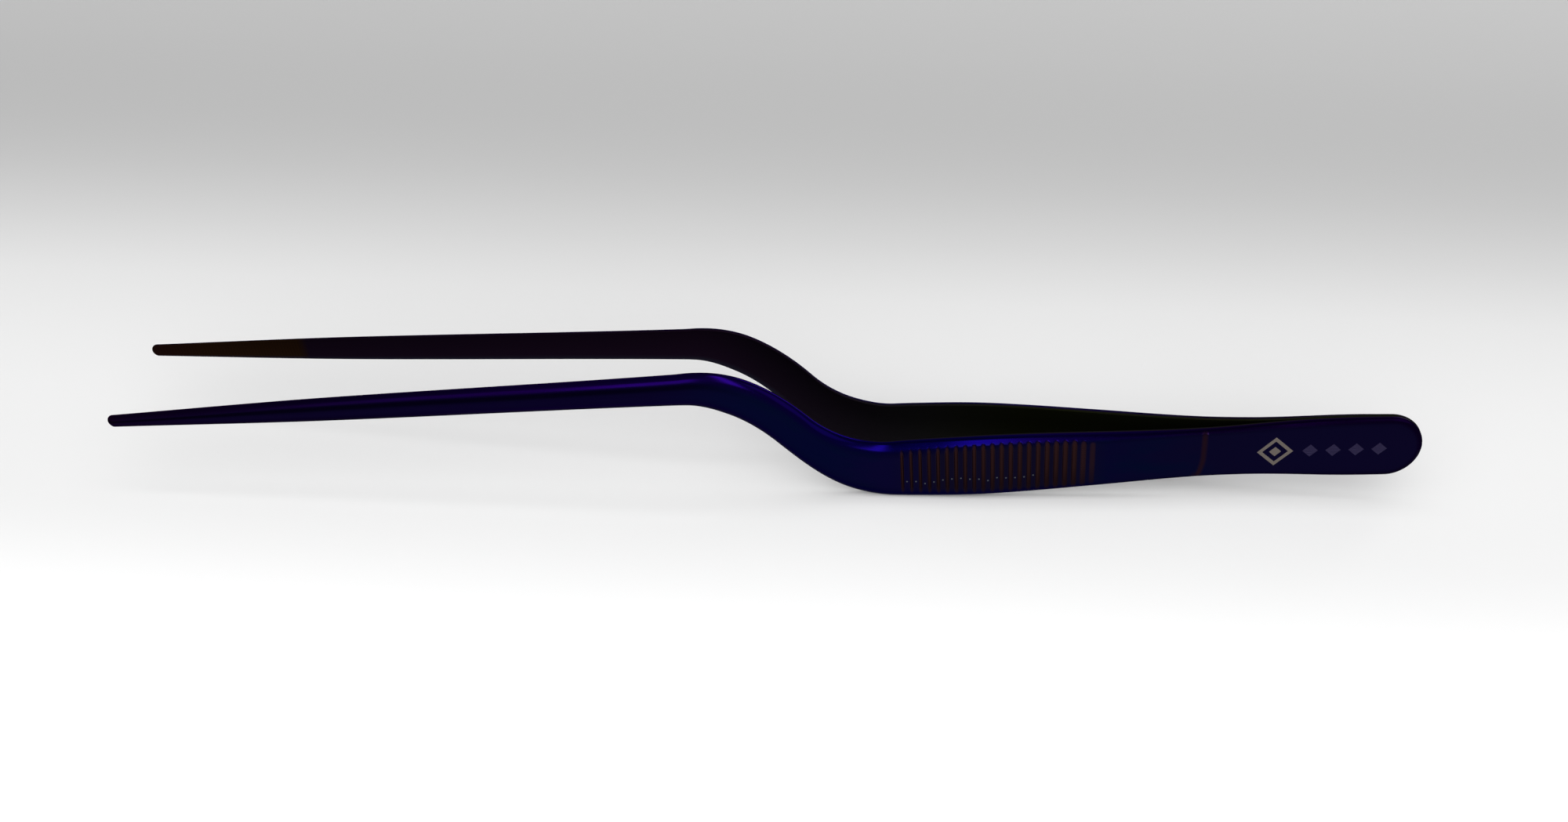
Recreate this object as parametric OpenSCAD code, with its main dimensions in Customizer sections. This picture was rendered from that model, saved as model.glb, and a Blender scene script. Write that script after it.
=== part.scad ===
// Bayonet tweezers: two mirrored spring arms joined at the butt, an offset bend ahead of the
// ribbed grips, and long tapering tips with fine cross grooves on their inner faces.
// +X points to the butt, -X to the tips, +Z is up across the width of the arms, and the arms
// open along Y. The tweezers stand on the lower edges of the grips, with z = 0 under them.
// Distances named *_d are measured along X from the butt end towards the tips.

/* [Length] */
// Length from the tips to the butt end
overall_l = 200; // [190:1:220]
// Distance from the butt end to the seam where each arm starts to flex
seam_d = 32.5; // [28:0.5:36]
// Distance from the butt end to the start of the offset bend
bend_d = 79; // [76:1:82]
// Length of each of the two curves that make up the offset bend
bend_run = 16; // [14:1:18]

/* [Side view] */
// Rise of the handle towards the butt, in degrees
handle_tilt = 4; // [2:0.5:6]
// Fall of the long shaft towards the tips, in degrees
shaft_tilt = 5.3; // [3:0.1:7]
// Steepest angle of the offset bend, in degrees
bend_angle = 44; // [30:0.5:46]
// Width of an arm near the butt end
butt_w = 11; // [9:0.1:12]
// Width of an arm at the waist, beside the seam
waist_w = 9; // [7:0.1:10]
// Width of an arm at the middle of the grip
grip_w = 11.1; // [9.5:0.1:12]
// Width of an arm at the front of the grip
front_w = 10.6; // [8.5:0.1:12]
// Width of an arm in the middle of the offset bend
bend_w = 6.8; // [5.5:0.1:8]
// Width of the shaft where it leaves the bend
root_w = 5.5; // [4.5:0.1:6.5]
// Width of the shaft where its long taper turns into the fine tip
shaft_w = 4.2; // [3:0.1:5]
// Width of the tip before its end is rounded off
tip_w = 2; // [1.2:0.1:2.4]
// Length of the rounded butt end
butt_round = 5; // [4:0.1:8]
// Length of the rounded tip end
tip_round = 0.9; // [0.6:0.1:1.4]
// Depth of the small flat worn on the lower edge of each grip
rest_depth = 0.1; // [0.05:0.01:0.2]

/* [Plan view] */
// Thickness of an arm at the butt end
end_t = 0.8; // [0.6:0.05:1.2]
// Thickness of an arm beside the seam
seam_t = 1.35; // [1.1:0.05:1.6]
// Thickness of an arm at the grip
grip_t = 1.7; // [1.3:0.05:1.9]
// Thickness of an arm along the shaft
shaft_t = 1.35; // [1:0.05:1.6]
// Thickness of an arm at the tip
tip_t = 1; // [0.8:0.05:1.2]
// Length over which the two butts lie face to face
joined_l = 16; // [12:1:18]
// Angle at which each arm leaves the joined butt, in degrees
lead_angle = 4.7; // [3:0.1:5.5]
// Angle between each shaft and the middle plane, in degrees
arm_angle = 2.3; // [1.8:0.1:3]
// Distance from the butt end to the place where the lead angle eases into the arm angle
ease_d = 63; // [56:1:66]
// Length of the curve at each change of angle
ease_run = 10; // [8:1:14]
// Gap left at the seam, so that the flexing arm clears the butt
seam_gap = 0.1; // [0.08:0.01:0.2]

/* [Grip ribs] */
// Number of grooves across each grip
rib_n = 22; // [10:1:22]
// Distance between neighbouring grooves
rib_pitch = 1.37; // [1.2:0.01:1.37]
// Radius of the round cutter that makes a groove
rib_r = 0.5; // [0.3:0.05:0.55]
// Depth of a groove
rib_depth = 0.2; // [0.1:0.01:0.25]
// Distance from the butt end to the groove nearest the butt
rib_d = 49.3; // [47:0.1:50]
// Plain margin between the grooves and the lower edge
rib_low_margin = 1; // [0.5:0.1:2]
// Plain margin between the grooves and the upper edge
rib_top_margin = 1; // [0.5:0.1:2]

/* [Tip grooves] */
// Length of the grooved zone on the inner face of each tip
bite_l = 25.5; // [15:0.5:28]
// Distance between neighbouring cross grooves
bite_pitch = 0.5; // [0.4:0.05:1]
// Depth of a cross groove
bite_depth = 0.1; // [0.05:0.01:0.15]

/* [Hidden] */
steel_blue = [0.13, 0.10, 0.42];
steel_violet = [0.30, 0.12, 0.50];

// width and thickness of an arm, as [distance from the butt end, full size] stations
waist_d = seam_d;
widths = [[0, butt_w], [8, butt_w], [waist_d, waist_w], [66, grip_w], [76.5, front_w],
          [bend_d + 5, 0.9 * front_w], [bend_d + bend_run, bend_w],
          [bend_d + 1.5 * bend_run, bend_w], [bend_d + 2 * bend_run + 2, root_w],
          [overall_l - 35, shaft_w], [overall_l, tip_w]];
thicks = [[0, end_t], [20, seam_t], [seam_d, seam_t], [48, grip_t], [bend_d, grip_t],
          [bend_d + 2 * bend_run, shaft_t], [overall_l - 1, tip_t], [overall_l, 0.7 * tip_t]];

// slope of a smooth curve through the stations p at station i, level wherever the chords turn
function chord(p, i) = (p[i + 1][1] - p[i][1]) / (p[i + 1][0] - p[i][0]);
function station_slope(p, i) =
    i == 0 ? chord(p, 0) :
    i == len(p) - 1 ? chord(p, i - 1) :
    let (a = chord(p, i - 1), b = chord(p, i)) a * b <= 0 ? 0 : 2 * a * b / (a + b);

// value at distance d of the smooth curve through the stations p (a cubic per span)
function along(p, d, i = 0) =
    i < len(p) - 2 && d > p[i + 1][0] ? along(p, d, i + 1) :
    let (h = p[i + 1][0] - p[i][0], u = (d - p[i][0]) / h)
    p[i][1] * (1 + 2 * u) * pow(1 - u, 2) + p[i + 1][1] * u * u * (3 - 2 * u)
    + h * u * (1 - u) * ((1 - u) * station_slope(p, i) - u * station_slope(p, i + 1));

// a line that is level up to u = 0, curves over the length run, then rises 1 per 1
function ramp(u, run) = u <= 0 ? 0 : u < run ? u * u / (2 * run) : u - run / 2;
function ramp_slope(u, run) = min(max(u / run, 0), 1);

// spine of an arm in side view: handle line, two curves of the bend, shaft line
rise_in = tan(bend_angle) + tan(handle_tilt);
rise_out = tan(bend_angle) + tan(shaft_tilt);
function spine_z(d) = -tan(handle_tilt) * d + rise_in * ramp(d - bend_d, bend_run)
    - rise_out * ramp(d - bend_d - bend_run, bend_run);
function spine_slope(d) = -tan(handle_tilt) + rise_in * ramp_slope(d - bend_d, bend_run)
    - rise_out * ramp_slope(d - bend_d - bend_run, bend_run);

// share of the full width left by the elliptical rounding at both ends
function end_share(u, run) = u >= run ? 1 : sqrt(max(0, 1 - pow(1 - u / run, 2)));
function half_width(d) = along(widths, d) / 2 * end_share(d, butt_round)
    * end_share(overall_l - d, tip_round);

// edge points of the side outline: side is 1 for the upper edge and -1 for the lower one
function x_at(d) = overall_l / 2 - d;
function edge_point(d, side) =
    let (s = spine_slope(d), k = side * half_width(d) / sqrt(1 + s * s))
    [x_at(d) + k * s, spine_z(d) + k];

round_steps = [for (a = [0:15:75]) 1 - cos(a)];
side_d = concat(
    [for (s = round_steps) butt_round * s],
    [for (d = [butt_round : 4 : bend_d - 6]) d],
    [for (d = [bend_d - 4 : 1.5 : bend_d + 2 * bend_run + 4]) d],
    [for (d = [bend_d + 2 * bend_run + 8 : 6 : overall_l - 6]) d],
    [for (i = [5:-1:0]) overall_l - tip_round * round_steps[i]]);
last = len(side_d) - 1;

// the outline is lowered until its grips reach rest_depth below z = 0, where it is cut level
low_z = min([for (d = side_d) edge_point(d, -1)[1]]) + rest_depth;
function resting(p) = [p[0], max(p[1] - low_z, 0)];

// inner face of an arm in plan: joined, leading away, then along the shaft
lead_rise = tan(lead_angle);
arm_rise = tan(arm_angle);
function inner_y(d) = lead_rise * ramp(d - joined_l, ease_run)
    - (lead_rise - arm_rise) * ramp(d - ease_d, ease_run);
function inner_slope(d) = lead_rise * ramp_slope(d - joined_l, ease_run)
    - (lead_rise - arm_rise) * ramp_slope(d - ease_d, ease_run);
function outer_y(d) = inner_y(d) + along(thicks, d);

module side_outline() {
    polygon(concat(
        [for (i = [0:last]) resting(edge_point(side_d[i], 1))],
        [for (i = [last - 1:-1:1]) resting(edge_point(side_d[i], -1))]));
}

module plan_outline(d0, d1) {
    steps = concat([d0], [for (d = [ceil((d0 + 1) / 3) * 3 : 3 : d1 - 1.2]) d],
                   d1 > overall_l - 1 ? [overall_l - 1, d1] : [d1]);
    n = len(steps) - 1;
    polygon(concat(
        [for (i = [0:n]) [x_at(steps[i]), inner_y(steps[i])]],
        [for (i = [n:-1:0]) [x_at(steps[i]), outer_y(steps[i])]]));
}

// the stretch of one arm between two distances from the butt end, on the +Y side
module arm_stretch(d0, d1) {
    intersection() {
        rotate([90, 0, 0]) linear_extrude(height = 4 * overall_l, center = true) side_outline();
        linear_extrude(height = overall_l) plan_outline(d0, d1);
    }
}

// grooves across the grip, square to the handle's line
module rib_cutters() {
    for (i = [0 : rib_n - 1]) {
        d = rib_d + i * rib_pitch;
        half = along(widths, d) / 2;
        translate([x_at(d), outer_y(d) + rib_r - rib_depth, spine_z(d) - low_z])
            rotate([0, -handle_tilt, 0])
                translate([0, 0, rib_low_margin - half])
                    cylinder(r = rib_r, h = 2 * half - rib_low_margin - rib_top_margin, $fn = 32);
    }
}

// V grooves across the inner face of the tip
module bite_cutters() {
    side = bite_depth * sqrt(2);
    for (d = [overall_l - bite_l : bite_pitch : overall_l - 1])
        translate([x_at(d), inner_y(d), spine_z(d) - low_z])
            rotate([0, 0, 45]) cube([side, side, 2 * shaft_w], center = true);
}

module butt() {
    arm_stretch(0, seam_d - seam_gap / 2);
}

module arm() {
    difference() {
        arm_stretch(seam_d + seam_gap / 2, overall_l);
        rib_cutters();
        bite_cutters();
    }
}

module far_butt() { color(steel_blue) butt(); }
module near_butt() { color(steel_blue) mirror([0, 1, 0]) butt(); }
module far_arm() { color(steel_violet) arm(); }
module near_arm() { color(steel_violet) mirror([0, 1, 0]) arm(); }

near_butt();
far_butt();
near_arm();
far_arm();
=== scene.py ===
"""Bayonet tweezers in polished stainless steel with a blue-violet interference coat.

The CAD frame holds two butt pieces and two flexing arm pieces. Here each arm is one continuous
strip of steel, from its rounded butt to its tip, drawn in place of its butt and arm pieces, which
are hidden.

Lengths in the shape functions are in millimetres. "d" is a distance along X from the butt end
towards the tips, "f" is a share of the half width of an arm, from -1 at its lower edge to 1 at
its upper edge, and heights above the inner face of an arm are called "t".
"""

import math

import bmesh
import bpy
import numpy as np
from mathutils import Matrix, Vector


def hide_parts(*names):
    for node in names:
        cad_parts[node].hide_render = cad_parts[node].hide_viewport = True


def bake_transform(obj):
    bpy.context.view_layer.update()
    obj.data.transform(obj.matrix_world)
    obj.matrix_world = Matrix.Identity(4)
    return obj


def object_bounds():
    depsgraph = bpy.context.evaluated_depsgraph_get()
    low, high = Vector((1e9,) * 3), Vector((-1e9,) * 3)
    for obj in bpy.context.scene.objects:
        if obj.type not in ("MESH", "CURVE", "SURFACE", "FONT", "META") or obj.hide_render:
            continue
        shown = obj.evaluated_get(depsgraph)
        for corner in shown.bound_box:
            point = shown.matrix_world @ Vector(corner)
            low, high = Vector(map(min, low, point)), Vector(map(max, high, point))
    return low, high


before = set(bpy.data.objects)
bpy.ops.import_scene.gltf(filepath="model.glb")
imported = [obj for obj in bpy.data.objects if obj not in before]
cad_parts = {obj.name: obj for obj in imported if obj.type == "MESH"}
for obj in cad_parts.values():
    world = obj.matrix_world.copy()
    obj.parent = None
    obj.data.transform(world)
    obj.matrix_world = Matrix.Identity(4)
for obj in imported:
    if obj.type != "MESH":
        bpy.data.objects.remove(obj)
cad_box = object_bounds()

# ---------------------------------------------------------------- driving dimensions, in mm

MM = 0.001
OVERALL_L = (cad_box[1][0] - cad_box[0][0]) / MM
BUTT_X = cad_box[1][0] / MM

SEAM_D = 32.5
BEND_D = 79.0
BEND_RUN = 16.0
HANDLE_TILT = 4.0
SHAFT_TILT = 5.3
BEND_ANGLE = 44.0
BUTT_ROUND = 5.0
TIP_ROUND = 0.9
REST_DEPTH = 0.1
JOINED_L = 16.0
LEAD_ANGLE = 4.7
ARM_ANGLE = 2.3
EASE_D = 63.0
EASE_RUN = 10.0
BEND_MID_D = BEND_D + BEND_RUN
BEND_END_D = BEND_D + 2 * BEND_RUN

# each row is [distance from the butt end, value], for the width and thickness of an arm
WIDTHS = [[0, 11.0], [8, 11.0], [SEAM_D, 9.0], [66, 11.1], [76.5, 10.6], [BEND_D + 5, 9.54],
          [BEND_MID_D, 6.8], [BEND_MID_D + 8, 6.8], [BEND_END_D + 2, 5.5],
          [OVERALL_L - 35, 4.2], [OVERALL_L, 2.0]]
THICKS = [[0, 0.8], [20, 1.35], [SEAM_D, 1.35], [48, 1.7], [BEND_D, 1.7],
          [BEND_END_D, 1.35], [OVERALL_L - 1, 1.0], [OVERALL_L, 0.7]]
# how far the rounding of the outer edges reaches in, as a share of the half width
ROUND_SHARES = [[0, 0.30], [SEAM_D, 0.22], [52, 0.30], [66, 0.34], [BEND_D, 0.50],
                [BEND_MID_D, 0.70], [BEND_END_D, 0.86], [OVERALL_L - 50, 0.95], [OVERALL_L, 0.95]]
# height of the straight wall that the rounding leaves above the inner face
WALLS = [[0, 0.30], [20, 0.45], [48, 0.50], [BEND_END_D, 0.35], [OVERALL_L, 0.30]]

# radius of the inner faces' edges, and how much lower the outer face is at its edges
INNER_ROUND = 0.2
CROWN = 0.06
# the two butts stay this far off the middle plane, so that their faces don't coincide
JOIN_CLEARANCE = 0.01

RIB_N = 22
RIB_PITCH = 1.37
RIB_D = 49.3
RIB_WIDTH_AT_BUTT_END = 0.82
RIB_WIDTH_AT_BEND = 0.50
FIRST_RIB_STRENGTH = 0.35
RIB_DEPTH = 0.24
# share of the crown's drop at which the ribs' depth is counted from
RIB_CROWN_SHARE = 0.3
BITE_L = 25.5
BITE_PITCH = 0.5
BITE_DEPTH = 0.06
BITE_FADE = 0.2
SEAM_LINE_WIDTH = 1.1
SEAM_LINE_DEPTH = 0.06
SEAM_BOW = 1.0
# share of the edges' rounding over which the seam line fades out
SEAM_LINE_FADE = 0.8

# bare spots on the lands of the grip: middle height, spread in height, radius, zone, and how
# far the noise that moves them goes on from one land to the next
SPECK_HEIGHT = -1.7
SPECK_WANDER = 2.6
SPECK_SIZE = 0.13
SPECK_ZONE = (58.0, 77.5)
SPECK_DRIFT = 0.31

# etched ornament: one open diamond, and a row of small solid ones that starts at SMALL_MARK_D
MARK_D = 21.8
MARK_SIZE = 2.7
MARK_LINE = 0.55
SMALL_MARK_D = 18.3
SMALL_MARK_PITCH = 3.4
SMALL_MARK_SIZE = 1.15
SMALL_MARK_N = 4
SMALL_MARK_STRENGTH = 0.3

# the mesh: columns over each face and corner of a section, rings round each end, the smallest
# gap between two rings, the distance at which points are merged, and the smallest face that is
# kept, in square mm
INNER_COLUMNS = 15
OUTER_COLUMNS = 17
INNER_CORNER_COLUMNS = 6
OUTER_CORNER_COLUMNS = 15
END_RINGS = 26
LEAST_RING_GAP = 0.004
MERGE_DISTANCE = 0.002
LEAST_FACE = 1e-10


# ---------------------------------------------------------------- shape of an arm

def smooth(stations, d):
    """A smooth curve through [distance, value] stations, for an array of distances. Each span is
    a cubic, whose end slopes are the harmonic means of the neighbouring chords, so the curve
    never overshoots a station."""
    x, y = np.array(stations, float).T
    chord = np.diff(y) / np.diff(x)
    before, after = chord[:-1], chord[1:]
    level = before * after <= 0
    mean = np.where(level, 0, 2 * before * after / np.where(level, 1, before + after))
    slope = np.concatenate([chord[:1], mean, chord[-1:]])
    i = np.clip(np.searchsorted(x, d) - 1, 0, len(x) - 2)
    h = x[i + 1] - x[i]
    u = (d - x[i]) / h
    return (y[i] * (1 + 2 * u) * (1 - u) ** 2 + y[i + 1] * u * u * (3 - 2 * u)
            + h * u * (1 - u) * ((1 - u) * slope[i] - u * slope[i + 1]))


def ramp(u, run):
    """Level up to u = 0, then a parabola over the length run, then a rise of 1 per 1."""
    u = np.maximum(u, 0)
    return np.where(u < run, u * u / (2 * run), u - run / 2)


def ramp_slope(u, run):
    """The slope of ramp: 0, then growing evenly over the length run, then 1."""
    return np.clip(u / run, 0, 1)


def rise(degrees):
    """Slope of a line at this angle: its tangent."""
    return math.tan(math.radians(degrees))


def spine(d):
    """Height and slope of an arm's middle line in side view: the handle's straight line, the two
    opposite curves of the bend, and the shaft's straight line."""
    up = rise(BEND_ANGLE) + rise(HANDLE_TILT)
    down = rise(BEND_ANGLE) + rise(SHAFT_TILT)
    z = (-rise(HANDLE_TILT) * d + up * ramp(d - BEND_D, BEND_RUN)
         - down * ramp(d - BEND_MID_D, BEND_RUN))
    slope = (-rise(HANDLE_TILT) + up * ramp_slope(d - BEND_D, BEND_RUN)
             - down * ramp_slope(d - BEND_MID_D, BEND_RUN))
    return z, slope


def inner_y(d):
    """Distance of an arm's inner face from the middle plane: none where the butts are joined,
    then the lead angle, which eases into the arm angle."""
    return (rise(LEAD_ANGLE) * ramp(d - JOINED_L, EASE_RUN)
            - (rise(LEAD_ANGLE) - rise(ARM_ANGLE)) * ramp(d - EASE_D, EASE_RUN))


def end_turn(d):
    """How far a place lies into the rounding of either end: 0 in the straight part, 1 at the end
    itself. Both outlines end in half an ellipse."""
    return np.maximum(np.clip(1 - d / BUTT_ROUND, 0, 1),
                      np.clip(1 - (OVERALL_L - d) / TIP_ROUND, 0, 1))


def stations_along():
    """Distances of the rings along an arm: close together where the ends, the seam line, the
    bend, the ribs and the tip grooves need it."""
    turn = 1 - np.cos(np.linspace(0, math.pi / 2, END_RINGS))
    rib_end = RIB_D + (RIB_N - 1) * RIB_PITCH
    bite_d = OVERALL_L - BITE_L
    # each span is [from, to, distance between its rings]
    spans = [[BUTT_ROUND, SEAM_D - 1, 0.9],
             [SEAM_D - 1, SEAM_D + 1, 0.1],
             [SEAM_D + 1, RIB_D - 1, 0.8],
             [RIB_D - 1, rib_end + 1, RIB_PITCH / 14],
             [rib_end + 1, BEND_END_D + 4, 0.45],
             [BEND_END_D + 4, bite_d - 1, 1.0],
             [bite_d - 1, OVERALL_L - TIP_ROUND, BITE_PITCH / 8]]
    d = np.unique(np.concatenate([
        BUTT_ROUND * turn, *(np.arange(*span) for span in spans),
        OVERALL_L - TIP_ROUND * turn[::-1]]))
    return d[np.concatenate([[True], np.diff(d) > LEAST_RING_GAP])]


def section_columns(d):
    """The closed section of an arm for every ring, as arrays of f (share of the half width) and
    of the column's kind. Columns run up the inner face, over the upper edge, down the outer face
    and round the lower edge. The rounded stretches are quarter circles in the edge's own scale,
    so their columns crowd where the surface turns."""
    full = smooth(WIDTHS, d) / 2
    inner_turn = np.linspace(0, math.pi / 2, INNER_CORNER_COLUMNS)[1:]
    outer_turn = np.linspace(0, math.pi / 2, OUTER_CORNER_COLUMNS)[1:]
    outer_reach = smooth(ROUND_SHARES, d)[:, None]
    inner_reach = (INNER_ROUND / full)[:, None]
    inner_face = np.linspace(-1, 1, INNER_COLUMNS)[None, :] * (1 - inner_reach)
    inner_edge = 1 - inner_reach * (1 - np.sin(inner_turn))[None, :]
    outer_edge = 1 - outer_reach * (1 - np.sin(outer_turn))[None, :]
    outer_face = np.linspace(1, -1, OUTER_COLUMNS)[None, :] * (1 - outer_reach)
    wall = np.ones((len(d), 2))
    f = np.concatenate([inner_face, inner_edge, wall, outer_edge[:, ::-1], outer_face,
                        -outer_edge, -wall, -inner_edge[:, ::-1]], axis=1)
    kinds = np.array(["inner"] * (inner_face.shape[1] + inner_edge.shape[1]) + ["wall_up"] * 2
                     + ["outer"] * (2 * outer_edge.shape[1] + outer_face.shape[1])
                     + ["wall_down"] * 2 + ["inner"] * inner_edge.shape[1])
    return f, kinds


def edge_distance(d, f):
    """Distance of a point on a face from the arm's outline. In the straight part it is measured
    across the arm. At a rounded end it shrinks with the elliptical radius that joins the share
    across and the turn into the end."""
    full = (smooth(WIDTHS, d) / 2)[:, None]
    turn = end_turn(d)[:, None]
    radius = np.sqrt(turn ** 2 + (f ** 2) * (1 - turn ** 2))
    return np.maximum(1 - radius, 0) * full


def quarter_drop(distance, reach, depth):
    """Drop of a rounded edge: a quarter of an ellipse that starts level at the distance reach
    from the outline and ends upright at the outline, depth lower."""
    inward = 1 - np.clip(distance / reach, 0, 1)
    return depth * (1 - np.sqrt(np.maximum(1 - inward ** 2, 0)))


def rib_profile(d):
    """Depth share of the grip grooves: one rounded trough per pitch, flat land between. The
    troughs grow narrower towards the bend, and the first two at the butt's end are faint."""
    n = np.clip(np.round((d - RIB_D) / RIB_PITCH), 0, RIB_N - 1)
    width = np.interp(n, [0, RIB_N - 1], [RIB_WIDTH_AT_BUTT_END, RIB_WIDTH_AT_BEND])
    strength = np.interp(n, [0, 2], [FIRST_RIB_STRENGTH, 1])
    off = (d - RIB_D - n * RIB_PITCH) / (width / 2)
    return strength * np.sqrt(np.clip(1 - off ** 2, 0, 1))


def bite_profile(d):
    """Depth share of the tips' cross grooves: a V per pitch over the grooved zone, which fades
    in over its first BITE_FADE."""
    zone = np.clip((d - (OVERALL_L - BITE_L)) / BITE_FADE, 0, 1)
    return zone * np.abs(((d / BITE_PITCH) % 1) * 2 - 1)


def seam_profile(d, f):
    """Depth share of the shallow ground line across the outer face at the seam. The line is
    straight down to the middle and then bows towards the tips."""
    off = (d[:, None] - SEAM_D - SEAM_BOW * np.minimum(f, 0) ** 2) / (SEAM_LINE_WIDTH / 2)
    return np.clip(1 - off ** 2, 0, 1)


def arm_surface():
    """One arm on the +Y side as a grid of rings along it and columns round its section.

    A column's height above the inner face is the drop of its own rounded edge on the inner face,
    and the thickness less the crown and the drop on the outer face. Ribs are troughs of constant
    depth under the outer face, so they run out where the rounded edges fall below them. A point
    then goes from the spine along the spine's normal by its share of the half width, and out
    from the middle plane by the inner face's distance and its height.
    Returns points of shape (rings, columns, 3) in mm, and the shares that colour the steel."""
    d = stations_along()
    f, kinds = section_columns(d)
    full = (smooth(WIDTHS, d) / 2)[:, None]
    thick = smooth(THICKS, d)[:, None]
    distance = edge_distance(d, f)
    reach = smooth(ROUND_SHARES, d)[:, None] * full
    wall = smooth(WALLS, d)[:, None]

    outer_top = thick - CROWN * f ** 2
    outer = outer_top - quarter_drop(distance, reach, outer_top - wall)
    trough = rib_profile(d)[:, None]
    ribs = thick - CROWN * RIB_CROWN_SHARE - RIB_DEPTH * trough
    in_ribs = trough > 0
    rib_share = np.where(in_ribs, np.clip((outer - ribs) / RIB_DEPTH, 0, 1), 0)
    outer = np.where(in_ribs, np.minimum(outer, ribs), outer)
    line_share = seam_profile(d, f) * np.clip(distance / (SEAM_LINE_FADE * reach), 0, 1)
    outer = outer - SEAM_LINE_DEPTH * line_share

    bite = bite_profile(d)[:, None] * np.clip(distance / INNER_ROUND, 0, 1)
    inner = JOIN_CLEARANCE + quarter_drop(distance, INNER_ROUND, INNER_ROUND) + BITE_DEPTH * bite
    wall_foot = JOIN_CLEARANCE + INNER_ROUND
    climb = wall_foot + (wall - wall_foot) * np.array([[1, 2]]) / 3

    t = np.where(kinds[None, :] == "inner", inner, outer)
    t[:, kinds == "wall_up"] = climb
    t[:, kinds == "wall_down"] = climb[:, ::-1]

    z, slope = spine(d)
    half = full * np.sqrt(np.maximum(1 - end_turn(d)[:, None] ** 2, 0)) * f
    tilt = 1 / np.sqrt(1 + slope[:, None] ** 2)
    x = BUTT_X - d[:, None] + half * slope[:, None] * tilt
    up = z[:, None] + half * tilt
    up = np.maximum(up - up.min() - REST_DEPTH, 0)
    points = np.stack([x, inner_y(d)[:, None] + t, up], axis=-1)

    edge = 1 - np.clip(distance / np.maximum(reach, INNER_ROUND), 0, 1)
    shares = {
        "along": np.broadcast_to(d[:, None] / OVERALL_L, f.shape),
        "across": half,
        "inner": np.broadcast_to((kinds[None, :] == "inner") * 1.0, f.shape),
        "edge": edge,
        "rib": np.where(kinds[None, :] == "outer", rib_share, 0),
        "ground": np.where(kinds[None, :] == "outer", line_share, 0),
        "wall": np.broadcast_to(np.char.startswith(kinds, "wall")[None, :] * 1.0, f.shape),
    }
    return points, shares


def grid_mesh(name, points, shares, flip):
    """A closed mesh from rings whose columns wrap round. Rings that shrink to a line or a point at
    the ends are closed by merging the points that fall together."""
    rings, columns, _ = points.shape
    index = np.arange(rings * columns).reshape(rings, columns)
    turned = np.roll(index, -1, axis=1)
    quads = np.stack([index[:-1], turned[:-1], turned[1:], index[1:]], axis=-1).reshape(-1, 4)
    if flip:
        quads = quads[:, ::-1]
    mesh = bpy.data.meshes.new(name)
    mesh.from_pydata((points.reshape(-1, 3) * MM).tolist(), [], quads.tolist())
    for key, share in shares.items():
        values = mesh.attributes.new(key, "FLOAT", "POINT")
        values.data.foreach_set("value", np.ascontiguousarray(share, np.float32).ravel())
    piece = bpy.data.objects.new(name, mesh)
    bpy.context.scene.collection.objects.link(piece)
    close_ends(mesh)
    mesh.polygons.foreach_set("use_smooth", np.ones(len(mesh.polygons), bool))
    return piece


def close_ends(mesh):
    """Merges the points that coincide at the ends, drops the faces that lose their area there and
    turns every face outwards."""
    work = bmesh.new()
    work.from_mesh(mesh)
    bmesh.ops.remove_doubles(work, verts=work.verts, dist=MERGE_DISTANCE * MM)
    flat = [face for face in work.faces if face.calc_area() < LEAST_FACE * MM * MM]
    bmesh.ops.delete(work, geom=flat, context="FACES_ONLY")
    holes = [edge for edge in work.edges if edge.is_boundary]
    if holes:
        bmesh.ops.holes_fill(work, edges=holes)
    bmesh.ops.recalc_face_normals(work, faces=work.faces)
    work.to_mesh(mesh)
    work.free()


# ---------------------------------------------------------------- materials

def colour(code):
    """Linear colour from an sRGB hex value such as "2a1f70": a twelfth-part line near black, and
    a power of 2.4 above it."""
    parts = np.array([int(code[i:i + 2], 16) for i in (0, 2, 4)]) / 255
    linear = np.where(parts <= 0.04045, parts / 12.92, ((parts + 0.055) / 1.055) ** 2.4)
    return (*linear.tolist(), 1.0)


def add(tree, kind, feeds=None, out=0, stops=None, **settings):
    """Adds one node and gives back one of its outputs. Settings are the node's own attributes.
    Feeds go by input name or number: an output is linked to that input, and anything else is set
    as its value. Stops fill a colour ramp, as (position, hex colour) pairs."""
    node = tree.nodes.new("ShaderNode" + kind)
    for key, value in settings.items():
        setattr(node, key, value)
    for key, value in (feeds or {}).items():
        if isinstance(value, bpy.types.NodeSocket):
            tree.links.new(value, node.inputs[key])
        else:
            node.inputs[key].default_value = value
    if stops:
        elements = node.color_ramp.elements
        elements.remove(elements[-1])
        for i, (position, code) in enumerate(stops):
            element = elements.new(position) if i else elements[0]
            element.position = position
            element.color = colour(code)
    return node.outputs[out]


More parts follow.
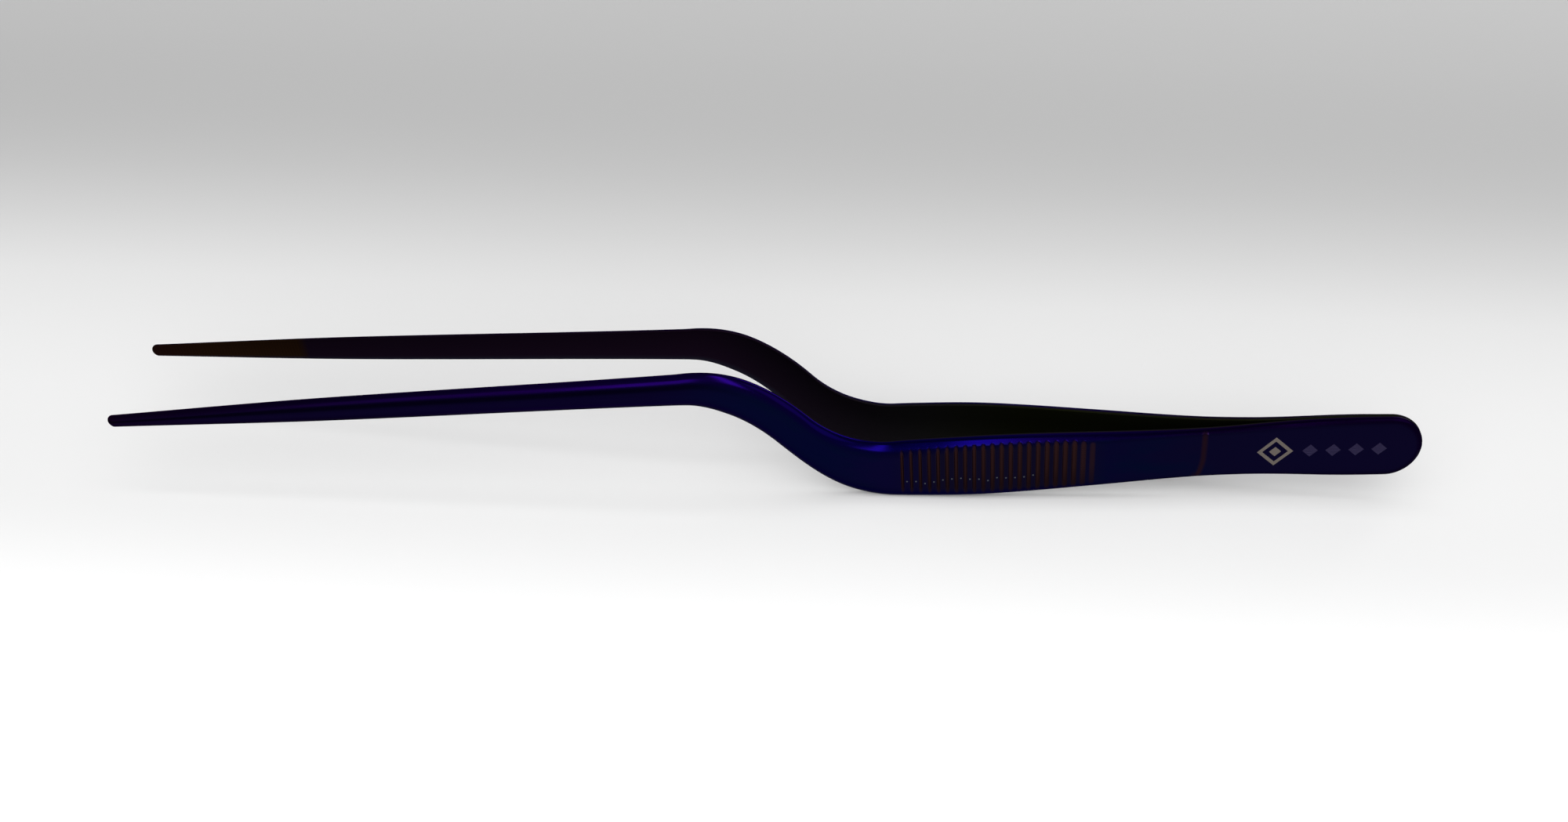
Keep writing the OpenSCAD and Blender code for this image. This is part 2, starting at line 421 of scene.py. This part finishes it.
def interference_coated_steel(marked):
    """Stainless steel, ground and polished, then given a titanium interference coat, thinner than
    the light's wavelength, in a vacuum chamber. The eye sees a dark mirror: indigo on the faces,
    purer blue at the bend, violet along the shaft, plum and olive inside, where the coat is
    thinner, and copper brown where the grooves were cut. The walls carry a painted highlight, and
    the lower arrises and the inner faces a painted reflection of the paper."""
    material = bpy.data.materials.new("interference_coated_steel" + ("_marked" if marked else ""))
    material.use_nodes = True
    tree = material.node_tree
    shader = tree.nodes["Principled BSDF"]
    shader.inputs["Specular Tint"].default_value = (0.5, 0.5, 0.55, 1.0)

    along, across, inside, edge, rib, ground, wall_share = (
        add(tree, "Attribute", attribute_name=name, out="Fac")
        for name in ("along", "across", "inner", "edge", "rib", "ground", "wall"))

    # the pattern's place in mm, with the inner faces set far off, so that they differ
    distance = add(tree, "Math", {0: along, 1: OVERALL_L}, operation="MULTIPLY")
    apart = add(tree, "Math", {0: inside, 1: 40.0}, operation="MULTIPLY")
    place = add(tree, "CombineXYZ", {0: distance, 1: across, 2: apart})

    # slow drift of the coat's thickness, in patches about 12 mm long and 5 mm wide, which moves
    # the colours along the arm by up to 7 mm either way
    patches = add(tree, "Mapping", {"Vector": place, "Scale": (1 / 12, 1 / 5, 1.0)})
    drift = add(tree, "TexNoise", {"Vector": patches, "Scale": 1.0, "Detail": 3.0,
                                   "Roughness": 0.55}, out="Fac")
    from_middle = add(tree, "Math", {0: drift, 1: 0.5}, operation="SUBTRACT")
    shifted = add(tree, "Math", {0: from_middle, 1: 0.07, 2: along}, operation="MULTIPLY_ADD")

    outer = add(tree, "ValToRGB", {"Fac": shifted}, stops=[
        (0.00, "2c2262"), (0.16, "282263"), (0.24, "20206c"), (0.34, "221f70"),
        (0.41, "282074"), (0.45, "182272"), (0.52, "1c2472"), (0.58, "281868"),
        (0.72, "2b1868"), (0.90, "2e1c66"), (0.985, "37185c"), (1.00, "4a1c3c")])

    # where the coat is a shade thicker it turns from indigo to a deep teal blue
    teal_zone = add(tree, "ValToRGB", {"Fac": along}, stops=[
        (0.00, "202020"), (0.14, "404040"), (0.17, "a0a0a0"), (0.235, "ffffff"),
        (0.26, "202020"), (0.40, "303030"), (0.44, "ffffff"), (0.475, "ffffff"),
        (0.52, "505050"), (0.70, "606060"), (1.00, "202020")])
    thick_patch = add(tree, "MapRange", {"Value": drift, "From Min": 0.46, "From Max": 0.74},
                      interpolation_type="SMOOTHSTEP")
    teal = add(tree, "Math", {0: thick_patch, 1: teal_zone}, operation="MULTIPLY")

    # over the rounded edges the coat loses its green, and leans to blue or violet by place
    rounded = add(tree, "MapRange", {"Value": edge, "From Min": 0.25, "From Max": 0.7},
                  interpolation_type="SMOOTHSTEP")
    rim = add(tree, "ValToRGB", {"Fac": shifted}, stops=[
        (0.00, "26084c"), (0.16, "22064e"), (0.22, "1e0664"), (0.28, "22087a"),
        (0.33, "12067a"), (0.40, "12067c"), (0.46, "1e0a7e"), (0.54, "280678"),
        (0.66, "300378"), (0.80, "280a5c"), (0.985, "300e50"), (1.00, "401430")])
    # painted highlight, partly wear: the upper and lower walls are painted a light lavender grey
    # towards the butt and darker towards the tips, standing in for the light they catch, with the
    # coat also partly rubbed off them
    wall = add(tree, "ValToRGB", {"Fac": along}, stops=[
        (0.00, "3c3242"), (0.40, "3a2f41"), (0.50, "261c34"), (1.00, "221630")])

    # the inner faces, with a painted reflection: lighter towards the lower edge and darker towards
    # the upper edge
    inner_tone = add(tree, "ValToRGB", {"Fac": along}, stops=[
        (0.00, "34362a"), (0.30, "33361c"), (0.38, "383638"), (0.46, "3c3042"),
        (0.55, "472d4f"), (0.868, "442b4c"), (0.873, "5b3c27"), (0.95, "5f3f28"),
        (1.00, "5c3630")])
    # painted reflection: the inner faces' colour is scaled from 1.15 at the lower edge to 0.55 at
    # the upper edge, standing in for the pale paper that the lower part would mirror
    inner_painted_reflection = add(tree, "MapRange", {"Value": across, "From Min": -4.5, "From Max": 3.0,
                                  "To Min": 1.15, "To Max": 0.55})
    inner = add(tree, "Mix", {0: 1.0, 6: inner_tone, 7: inner_painted_reflection}, out=2, data_type="RGBA",
                blend_type="MULTIPLY")

    # painted reflection: the lower arrises are painted a light blue grey, standing in for the pale
    # paper below that they would mirror
    below = add(tree, "MapRange", {"Value": across, "From Min": -0.5, "From Max": -0.9})
    arris = add(tree, "MapRange", {"Value": edge, "From Min": 0.55, "From Max": 1.0,
                                   "To Max": 0.9}, interpolation_type="SMOOTHSTEP")
    painted_arris_reflection = add(tree, "Math", {0: below, 1: arris}, operation="MULTIPLY")

    # the lands between the ribs are duller, away from the edges
    ribbed_zone = add(tree, "ValToRGB", {"Fac": along}, stops=[
        (0.235, "000000"), (0.262, "ffffff"), (0.36, "ffffff"), (0.40, "000000")])
    turned = add(tree, "Math", {0: edge, 1: 2.5, 2: inside}, operation="MULTIPLY_ADD")
    plain = add(tree, "Math", {0: 1.0, 1: turned}, operation="SUBTRACT", use_clamp=True)
    dulled = add(tree, "Math", {0: ribbed_zone, 1: 0.65}, operation="MULTIPLY")
    lands = add(tree, "Math", {0: dulled, 1: plain}, operation="MULTIPLY")

    # the cut grooves are copper brown, darker towards their lower ends, and so is the seam line
    height = add(tree, "MapRange", {"Value": across, "From Min": -5.0, "From Max": 5.0})
    copper = add(tree, "ValToRGB", {"Fac": height}, stops=[
        (0.00, "40303a"), (0.20, "56363a"), (0.45, "6a4444"), (1.00, "744a4a")])
    groove = add(tree, "Math", {0: rib, 1: 0.5}, operation="POWER")
    seam_line = add(tree, "Math", {0: ground, 1: 0.7}, operation="MULTIPLY")
    specks = add(tree, "Math", {0: worn_specks(tree, distance, across), 1: plain},
                 operation="MULTIPLY")

    # polishing lines: noise drawn out along the arm, about 0.15 mm across and 8 mm long
    drawn_out = add(tree, "Mapping", {"Vector": place, "Scale": (1 / 8, 1 / 0.15, 1.0)})
    lines = add(tree, "TexNoise", {"Vector": drawn_out, "Scale": 1.0, "Detail": 2.0,
                                   "Roughness": 0.6}, out="Fac")
    roughness = 0.12
    for share, rougher in ((lines, 0.10), (rib, 0.18), (inside, 0.25)):
        roughness = add(tree, "Math", {0: share, 1: rougher, 2: roughness},
                        operation="MULTIPLY_ADD")

    # the inner faces of the handle keep the satin of the sheet, which scatters some light
    satin = add(tree, "MapRange", {"Value": along, "From Min": 0.36, "From Max": 0.50,
                                   "To Min": 0.09, "To Max": 0.0})
    scatter = add(tree, "Math", {0: satin, 1: inside}, operation="MULTIPLY")
    metallic = add(tree, "Math", {0: 1.0, 1: scatter}, operation="SUBTRACT")

    # each layer covers the ones before it
    layers = [(teal, colour("0a2c66")), (rounded, rim), (wall_share, wall), (inside, inner),
              (painted_arris_reflection, colour("54546e")), (lands, colour("38304c")), (groove, copper),
              (seam_line, colour("60383c")), (specks, colour("b4bccc"))]
    if marked:
        mark = etched_mark(tree, distance, across, inside)
        layers.append((mark, colour("5e5751")))
        roughness = add(tree, "Math", {0: mark, 1: 0.3, 2: roughness}, operation="MULTIPLY_ADD")
        metallic = add(tree, "Math", {0: metallic, 1: mark}, operation="SUBTRACT",
                       use_clamp=True)
    base = outer
    for mask, tint in layers:
        base = add(tree, "Mix", {0: mask, 6: base, 7: tint}, out=2, data_type="RGBA")

    scratched = add(tree, "Bump", {"Height": lines, "Strength": 0.06, "Distance": 0.02 * MM})
    tree.links.new(metallic, shader.inputs["Metallic"])
    tree.links.new(base, shader.inputs["Base Color"])
    tree.links.new(roughness, shader.inputs["Roughness"])
    tree.links.new(scratched, shader.inputs["Normal"])
    return material


def worn_specks(tree, distance, across):
    """Mask of the small bare spots on the lands of the grip, where the coat has chipped. There is
    one round spot on every land of the zone, at a height that a slow noise moves up and down. A
    spot is where the root of the squared distances along and across is less than its size."""
    from_first = add(tree, "Math", {0: distance, 1: RIB_D}, operation="SUBTRACT")
    turns = add(tree, "Math", {0: from_first, 1: RIB_PITCH}, operation="DIVIDE")
    part = add(tree, "Math", {0: turns}, operation="FRACT")
    from_land = add(tree, "Math", {0: part, 1: 0.5}, operation="SUBTRACT")
    off = add(tree, "Math", {0: RIB_PITCH, 1: from_land}, operation="MULTIPLY")

    land = add(tree, "Math", {0: turns}, operation="FLOOR")
    wave = add(tree, "TexNoise", {"W": land, "Scale": SPECK_DRIFT, "Detail": 1.0}, out="Fac",
               noise_dimensions="1D")
    centred = add(tree, "Math", {0: wave, 1: 0.5}, operation="SUBTRACT")
    middle = add(tree, "Math", {0: centred, 1: SPECK_WANDER, 2: SPECK_HEIGHT},
                 operation="MULTIPLY_ADD")
    up = add(tree, "Math", {0: across, 1: middle}, operation="SUBTRACT")

    up_squared = add(tree, "Math", {0: up, 1: up}, operation="MULTIPLY")
    squared = add(tree, "Math", {0: off, 1: off, 2: up_squared}, operation="MULTIPLY_ADD")
    reach = add(tree, "Math", {0: squared}, operation="SQRT")
    spot = add(tree, "Math", {0: reach, 1: SPECK_SIZE}, operation="LESS_THAN")
    past_start = add(tree, "Math", {0: distance, 1: SPECK_ZONE[0]}, operation="GREATER_THAN")
    before_end = add(tree, "Math", {0: distance, 1: SPECK_ZONE[1]}, operation="LESS_THAN")
    within = add(tree, "Math", {0: past_start, 1: before_end}, operation="MULTIPLY")
    return add(tree, "Math", {0: spot, 1: within}, operation="MULTIPLY")


def etched_mark(tree, distance, across, inside):
    """Mask of a laser-etched ornament near the butt: one open diamond and a row of small solid
    ones. A diamond is where the distances along and across add up to less than its half size."""
    height = add(tree, "Math", {0: across}, operation="ABSOLUTE")
    from_centre = add(tree, "Math", {0: distance, 1: MARK_D}, operation="SUBTRACT")
    off_centre = add(tree, "Math", {0: from_centre}, operation="ABSOLUTE")
    reach = add(tree, "Math", {0: height, 1: off_centre}, operation="ADD")
    filled = add(tree, "Math", {0: reach, 1: MARK_SIZE}, operation="LESS_THAN")
    past_hole = add(tree, "Math", {0: reach, 1: MARK_SIZE - MARK_LINE * math.sqrt(2)},
                    operation="GREATER_THAN")
    core = add(tree, "Math", {0: reach, 1: MARK_SIZE / 3}, operation="LESS_THAN")
    large = add(tree, "Math", {0: filled, 1: past_hole, 2: core}, operation="MULTIPLY_ADD")

    from_start = add(tree, "Math", {0: SMALL_MARK_D, 1: distance}, operation="SUBTRACT")
    turns = add(tree, "Math", {0: from_start, 1: SMALL_MARK_PITCH}, operation="DIVIDE")
    begun = add(tree, "Math", {0: turns, 1: 0.0}, operation="GREATER_THAN")
    not_over = add(tree, "Math", {0: turns, 1: float(SMALL_MARK_N)}, operation="LESS_THAN")
    within = add(tree, "Math", {0: begun, 1: not_over}, operation="MULTIPLY")
    part = add(tree, "Math", {0: turns}, operation="FRACT")
    from_middle = add(tree, "Math", {0: part, 1: 0.5}, operation="SUBTRACT")
    off_middle = add(tree, "Math", {0: from_middle}, operation="ABSOLUTE")
    small_reach = add(tree, "Math", {0: off_middle, 1: SMALL_MARK_PITCH, 2: height},
                      operation="MULTIPLY_ADD")
    small = add(tree, "Math", {0: small_reach, 1: SMALL_MARK_SIZE}, operation="LESS_THAN")
    row = add(tree, "Math", {0: within, 1: small}, operation="MULTIPLY")

    shape = add(tree, "Math", {0: row, 1: SMALL_MARK_STRENGTH, 2: large},
                operation="MULTIPLY_ADD", use_clamp=True)
    outside = add(tree, "Math", {0: inside, 1: 0.5}, operation="LESS_THAN")
    return add(tree, "Math", {0: shape, 1: outside}, operation="MULTIPLY")


def pale_paper():
    """Matt studio paper, white in front of the object and falling to light grey behind it: a
    painted shade, standing in for the studio light falling off towards the back.
    """
    material = bpy.data.materials.new("pale_paper")
    material.use_nodes = True
    tree = material.node_tree
    shader = tree.nodes["Principled BSDF"]
    place = add(tree, "TexCoord", out="Object")
    depth = add(tree, "SeparateXYZ", {0: place}, out=1)
    level = add(tree, "MapRange", {"Value": depth, "From Min": -0.08, "From Max": 0.20})
    # painted shade: the paper goes from white in front to light grey behind, in its own
    # coordinates
    painted_falloff = add(tree, "ValToRGB", {"Fac": level}, stops=[
        (0.0, "ffffff"), (0.10, "ffffff"), (0.17, "f0f0f0"), (0.23, "e3e3e3"),
        (0.34, "e6e6e6"), (0.46, "dcdcdc"), (0.53, "cccccc"), (0.61, "bbbbbb"),
        (0.70, "b4b4b4"), (0.82, "b8b8b8"), (1.0, "c2c2c2")])
    painted_falloff.node.color_ramp.interpolation = "B_SPLINE"
    tree.links.new(painted_falloff, shader.inputs["Base Color"])
    shader.inputs["Roughness"].default_value = 0.9
    shader.inputs["Specular IOR Level"].default_value = 0.1
    return material


# ---------------------------------------------------------------- the two arms

def make_arm(side, name):
    """One finished arm. side is -1 for the near arm and 1 for its mirror image."""
    points, shares = arm_surface()
    points = points * np.array([1, side, 1])
    arm = grid_mesh(name, points, shares, flip=side < 0)
    arm.data.materials.append(interference_coated_steel(marked=side < 0))
    return arm


for side, which in ((-1, "near"), (1, "far")):
    arm = make_arm(side, which + "_strip")
    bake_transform(arm)
    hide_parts(which + "_butt", which + "_arm")


# ---------------------------------------------------------------- stage, light and camera

def make_floor():
    """A wide sheet of paper under the object. Glossy rays pass it by, so that the steel mirrors
    the dim studio and its panels, as it does between black cards."""
    reach = 2500 * MM
    mesh = bpy.data.meshes.new("paper")
    mesh.from_pydata([(-reach, -reach, 0), (reach, -reach, 0), (reach, reach, 0),
                      (-reach, reach, 0)], [], [(0, 1, 2, 3)])
    mesh.materials.append(pale_paper())
    paper = bpy.data.objects.new("paper", mesh)
    bpy.context.scene.collection.objects.link(paper)
    paper.visible_glossy = False


# each row is name, centre, size, radiance, and whether the steel mirrors it
PANELS = [
    ("sky_panel", (0, -700, 1200), (3000, 3000), 1.9, False),
    ("left_panel", (-86, -488, 70), (44, 150), 0.9, True),
    ("right_panel", (79, -503, 320), (85, 660), 1.3, True),
    ("far_left_panel", (-187, -463, 62), (90, 150), 0.2, True),
    ("far_right_panel", (328, -328, 187), (300, 300), 0.18, True),
    ("back_panel", (360, 360, 318), (105, 660), 1.2, True),
]
PANEL_TARGET = (0.0, 0.0, 12.0)


def make_panel(name, centre, size, radiance, mirrored):
    """A soft rectangular light that faces the object. Sizes and places are in mm. A mirrored
    panel shows in the steel, the others only light the paper."""
    lamp = bpy.data.lights.new(name, "AREA")
    lamp.shape = "RECTANGLE"
    lamp.size, lamp.size_y = size[0] * MM, size[1] * MM
    lamp.energy = radiance * math.pi * lamp.size * lamp.size_y
    panel = bpy.data.objects.new(name, lamp)
    panel.location = [v * MM for v in centre]
    aim = np.array(PANEL_TARGET) - np.array(centre, float)
    flat = math.hypot(aim[0], aim[1])
    panel.rotation_euler = (math.pi / 2 + math.atan2(aim[2], flat), 0,
                            math.atan2(-aim[0], aim[1]))
    panel.visible_camera = False
    panel.visible_glossy = mirrored
    bpy.context.scene.collection.objects.link(panel)


def make_world():
    """What the steel mirrors beyond the panels: a dim, even grey tent, brighter towards the back,
    with a darker band just below eye level on the side of the tips."""
    world = bpy.data.worlds.new("studio")
    world.use_nodes = True
    bpy.context.scene.world = world
    tree = world.node_tree
    tree.nodes.clear()
    way = add(tree, "TexCoord", out="Generated")
    towards_butt, towards_back, height = add(tree, "SeparateXYZ", {0: way}).node.outputs
    level = add(tree, "MapRange", {"Value": height, "From Min": -1.0, "From Max": 1.0})
    butt_side = add(tree, "ValToRGB", {"Fac": level}, stops=[
        (0.0, "585858"), (0.20, "666666"), (0.30, "606060"), (0.50, "585858"),
        (0.70, "5c5c5c"), (1.0, "505050")])
    tip_side = add(tree, "ValToRGB", {"Fac": level}, stops=[
        (0.0, "585858"), (0.18, "646464"), (0.235, "5a5a5a"), (0.27, "383838"),
        (0.40, "343434"), (0.44, "606060"), (0.60, "606060"), (1.0, "484848")])
    side = add(tree, "MapRange", {"Value": towards_butt, "From Min": -0.08, "From Max": 0.04})
    room = add(tree, "Mix", {0: side, 6: tip_side, 7: butt_side}, out=2, data_type="RGBA")
    strength = add(tree, "MapRange", {"Value": towards_back, "From Min": -0.1, "From Max": 0.6,
                                      "To Min": 1.0, "To Max": 2.0})
    glow = add(tree, "Background", {"Color": room, "Strength": strength})
    sky = tree.nodes.new("ShaderNodeOutputWorld")
    tree.links.new(glow, sky.inputs["Surface"])


CAMERA_AZIMUTH = 4.2
CAMERA_ELEVATION = 37.3
CAMERA_DISTANCE = 265.9
CAMERA_TARGET = (3.35, 0.0, 11.5)
# focal length as a share of the sensor's width
CAMERA_FOCAL = 1.1


def make_camera():
    """A camera that looks down on the near arm from slightly to the butt's side."""
    data = bpy.data.cameras.new("camera")
    data.lens = CAMERA_FOCAL * data.sensor_width
    data.clip_start = 5 * MM
    camera = bpy.data.objects.new("camera", data)
    turn, lift = math.radians(CAMERA_AZIMUTH), math.radians(CAMERA_ELEVATION)
    back = np.array([math.sin(turn) * math.cos(lift), -math.cos(turn) * math.cos(lift),
                     math.sin(lift)])
    camera.location = (np.array(CAMERA_TARGET) + back * CAMERA_DISTANCE) * MM
    camera.rotation_euler = (math.pi / 2 - lift, 0, turn)
    bpy.context.scene.collection.objects.link(camera)
    bpy.context.scene.camera = camera


make_floor()
for row in PANELS:
    make_panel(*row)
make_world()
make_camera()
bpy.context.scene.view_settings.view_transform = "Standard"
